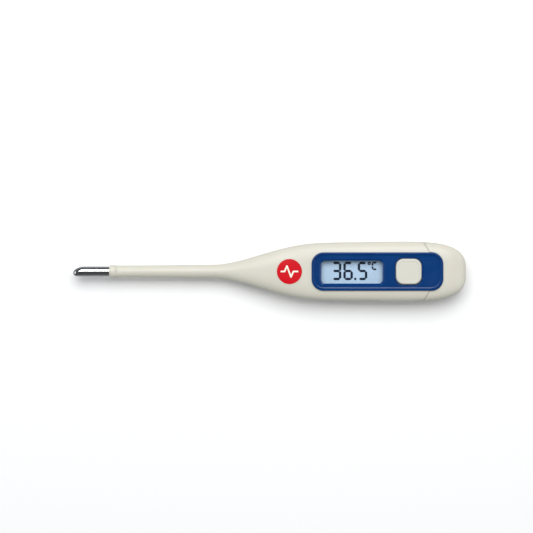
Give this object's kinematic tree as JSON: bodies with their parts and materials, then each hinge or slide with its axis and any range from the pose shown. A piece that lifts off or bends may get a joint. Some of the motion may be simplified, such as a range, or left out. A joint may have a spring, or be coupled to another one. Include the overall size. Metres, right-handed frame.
{
  "type": "digital clinical thermometer",
  "caption": "Pen-shaped clinical digital thermometer with a steel measuring tip, a thin stem, a display window, a press button and a pull-off battery cover",
  "frame": {"origin": "middle of the length and width, on the plane that the back rests on", "axes": "+X from the measuring tip to the battery end, +Z out of the display face, +Y to the left of +X seen from above"},
  "size_m": [0.126, 0.0192, 0.0106],
  "materials": {
    "case_plastic": "satin moulded",
    "bezel_plastic": "polished",
    "window_plastic": "polished clear",
    "badge_plastic": "gloss",
    "button_plastic": "satin moulded",
    "silicone": "soft matt",
    "seal_rubber": "soft matt",
    "dome_steel": "bright rolled",
    "tip_steel": "polished",
    "display_glass": "polished",
    "display_film": "satin film",
    "zebra_rubber": "layered",
    "board_laminate": "solder mask",
    "frame_plastic": "moulded",
    "cell_steel": "bright rolled",
    "contact_bronze": "plated spring strip",
    "resin_black": "poured resin",
    "capacitor_body": "fired",
    "resistor_body": "fired",
    "bead_glass": "glazed",
    "lead_sleeve": "enamel sleeve",
    "tip_resin": "cured resin",
    "sounder_brass": "bright rolled",
    "sounder_disc": "silvered"
  },
  "bodies": {
    "case": {"front_shell": "case_plastic", "back_shell": "case_plastic", "cover_seal": "seal_rubber", "bezel": "bezel_plastic", "window_lens": "window_plastic", "badge": "badge_plastic", "button_seal": "silicone", "snap_dome": "dome_steel", "zebra_strip_left": "zebra_rubber", "zebra_strip_right": "zebra_rubber", "circuit_board": "board_laminate", "inner_frame": "frame_plastic", "button_cell": "cell_steel", "contact_negative": "contact_bronze", "contact_positive": "contact_bronze", "processor_cover": "resin_black", "chip_capacitors": "capacitor_body", "chip_resistors": "resistor_body", "probe_tip": "tip_steel", "thermistor_bead": "bead_glass", "thermistor_lead_left": "lead_sleeve", "thermistor_lead_right": "lead_sleeve", "tip_filling": "tip_resin", "display_front_film": "display_film", "display_front_glass": "display_glass", "display_rear_glass": "display_glass", "display_reflector": "display_film", "sounder_plate": "sounder_brass", "sounder_ceramic": "sounder_disc", "sounder_lead_plate": "lead_sleeve", "sounder_lead_ceramic": "lead_sleeve"},
    "button": {"button": "button_plastic"},
    "battery_cover": {"battery_cover": "case_plastic"}
  },
  "joints": [
    {"name": "button_press", "type": "slide", "parent": "case", "child": "button", "axis": [0, 0, -1], "range_m": [0, 0.0004], "stiffness_N_per_m": 4000, "springref_m": -0.0001, "deforming": ["button_seal", "snap_dome"]},
    {"name": "cover_slide", "type": "slide", "parent": "case", "child": "battery_cover", "axis": [1, 0, 0], "range_m": [0, 0.018]}
  ]
}
